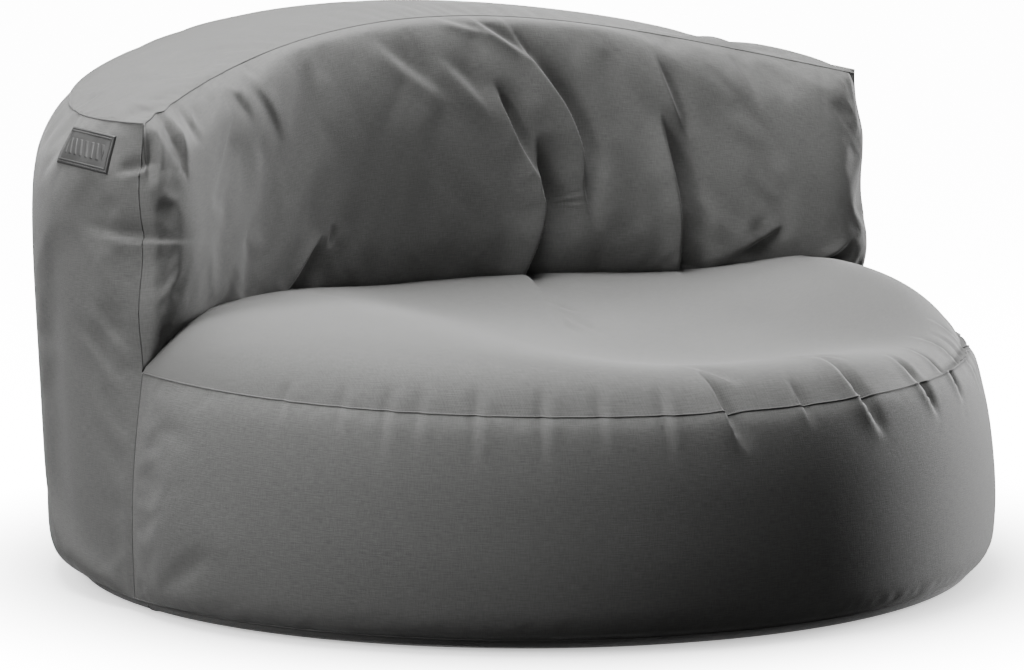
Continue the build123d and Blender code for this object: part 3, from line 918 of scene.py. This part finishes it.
BADGE_LONG, BADGE_HIGH, BADGE_THICK = 0.100, 0.047, 0.0024
BORDER_INSETS, BORDER_HALF, BORDER_RISE = (0.0022, 0.0052), 0.0009, 0.0009
BAR_PITCH, BAR_HALF, BAR_RISE, BAR_SLANT = 0.0105, 0.0026, 0.0010, 0.35
BARS_LONG, BARS_HIGH = 0.038, 0.0095  # half the length and height of the row
wall_tree = BVHTree.FromObject(rear_wall, bpy.context.evaluated_depsgraph_get())
badge_rear, badge_front = Vector((-0.599, 0.158, 0.559)), Vector((-0.556, 0.062, 0.543))
badge_mid = (badge_rear + badge_front) / 2
badge_along = (badge_front - badge_rear).normalized()
badge_up = Vector((0.25, 0.05, 1)).normalized()
badge_up = (badge_up - badge_up.dot(badge_along) * badge_along).normalized()
badge_out = badge_up.cross(badge_along).normalized()
badge_out *= -1 if badge_out.x > 0 else 1


def badge_relief(a, b):
    """Height of the badge's face, by distances in metres from its middle."""
    from_edge = min(BADGE_LONG / 2 - abs(a), BADGE_HIGH / 2 - abs(b))
    height = BADGE_THICK * min(from_edge / 0.0012, 1) ** 0.5
    for inset in BORDER_INSETS:
        height += BORDER_RISE * max(0.0, 1 - ((from_edge - inset) / BORDER_HALF) ** 2)
    bar = (a + BAR_SLANT * b) % BAR_PITCH - BAR_PITCH / 2
    if abs(b) < BARS_HIGH and abs(a) < BARS_LONG:
        height += BAR_RISE * max(0.0, 1 - (bar / BAR_HALF) ** 4)
    return height


bm = bmesh.new()
bmesh.ops.create_grid(bm, x_segments=250, y_segments=118, size=0.5)
for vert in bm.verts:
    a, b = vert.co.x * BADGE_LONG, vert.co.y * BADGE_HIGH
    flat = badge_mid + a * badge_along + b * badge_up
    spot, _, _, _ = wall_tree.ray_cast(flat + 0.1 * badge_out, -badge_out)
    vert.co = spot + badge_out * (badge_relief(a, b) - 0.0006)
bmesh.ops.solidify(bm, geom=bm.faces[:], thickness=0.0008)
bmesh.ops.recalc_face_normals(bm, faces=bm.faces)
badge = link_piece("badge_label", bm)
badge.data.materials.append(
    moulded_finish("badge_rubber", (0.040, 0.040, 0.040), (0.062, 0.062, 0.061), 0.5)
)
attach(badge, "root")
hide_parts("badge")

# --- Liners and beads -------------------------------------------------------------
# Inside the cover, a round liner fills the seat and a crescent one the backrest. They
# are white nonwoven cloth, filled with expanded polystyrene beads.


def bead_finish():
    material, nodes, shader = finish_of("bead_fill", 0.7)
    place = nodes.node("ShaderNodeTexCoord", out="Object")
    cell = nodes.node("ShaderNodeTexVoronoi", inputs={"Vector": place, "Scale": 260.0})
    # Painted shade: each bead is lighter in its middle and darker towards its edge, where it meets
    # the next.
    feed(colour_between(nodes, cell, (0.86, 0.86, 0.85), (0.6, 0.6, 0.6)), shader, "Base Color")
    feed(bumped(nodes, 1.0 - cell, 1.0, 0.003), shader, "Normal")
    return material


LINER_CLOTH = cloth_finish("liner_cloth", (0.72, 0.72, 0.70), (0.82, 0.82, 0.80), sheen=0.05)
BEAD_FILL = bead_finish()
PUCK_SIDE = [
    (0, 24), (385, 24), (440, 18), (520, 16), (540, 34), (548, 110), (540, 200),
    (522, 262), (490, 288), (300, 292), (0, 290),
]


def stuffed(name, place, material, node, slot):
    """A closed body from a grid that wraps round on itself."""
    bm, cut = sheet(120, 60)
    for vert, spot in zip(bm.verts, place(cut[:, 0], cut[:, 1])):
        vert.co = spot
    uv = bm.loops.layers.uv.new("cut")
    bm.verts.index_update()
    for face in bm.faces:
        for loop in face.loops:
            loop[uv].uv = cut[loop.vert.index] * (3.4, 1.2)
    close_body(bm, 0.0002)
    piece = link_piece(name, bm)
    piece.data.materials.append(material)
    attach(piece, "root")
    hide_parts(node)


def puck_place(inset):
    middle = 0.155  # half way up the puck

    def place(u, v):
        radius, z = np.moveaxis(smooth_line(PUCK_SIDE, v), -1, 0)
        radius = np.maximum(radius - inset, 0) * (v > 0) * (v < 1)
        z = middle + (z - middle) * (1 - inset / 0.13)
        pucker = 0.002 * np.sin(24 * 2 * pi * u) * np.sin(pi * v) ** 4
        radius = radius + pucker * (radius > 0.3)
        return np.stack([radius * np.cos(2 * pi * u), radius * np.sin(2 * pi * u), z], axis=-1)

    return place


def crescent_place(inset):
    room, foot = 0.046 + inset, 0.318 + inset  # inside the cover, and above the floor

    def place(u, v):
        along = 0.09 + 0.82 * u
        front = face_place(along, 0.1 + 0.85 * np.clip(v / 0.35, 0, 1))
        rear = rear_wall_place(1 - along, 1.0 - 0.46 * np.clip((v - 0.65) / 0.35, 0, 1))
        top = top_place(along, np.clip((v - 0.35) / 0.3, 0, 1))
        spots = np.where((v < 0.35)[:, None], front, np.where((v < 0.65)[:, None], top, rear))
        outer = rear_wall_place(1 - along, np.full_like(u, 0.8))
        inner = face_place(along, np.full_like(u, 0.5))
        heart = (outer + inner) / 2
        away = spots - heart
        size = np.linalg.norm(away, axis=1, keepdims=True)
        spots = heart + away * np.maximum(1 - room / np.maximum(size, 1e-6), 0.3)
        spots[:, 2] = np.maximum(spots[:, 2], foot)
        return spots

    return place


def crescent_loop(inset):
    """The crescent's section as a closed round: up the face, over the top and down."""
    place = crescent_place(inset)

    def wrapped(u, v):
        share = np.clip(v / 0.86, 0, 1)
        spots = place(u, share)
        back, start = place(u, np.ones_like(u)), place(u, np.zeros_like(u))
        under = np.clip((v - 0.86) / 0.14, 0, 1)[:, None]
        return np.where(under > 0, back + (start - back) * under, spots)

    return wrapped


for inset, material, word, slot in (
    (0.0, LINER_CLOTH, "liner", "liner_cloth"), (0.003, BEAD_FILL, "beads", "bead_fill")
):
    stuffed("seat_" + word + "_bag", puck_place(inset), material, "seat_" + word, slot)
    stuffed("back_" + word + "_bag", crescent_loop(inset), material, "back_" + word, slot)

low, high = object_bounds()
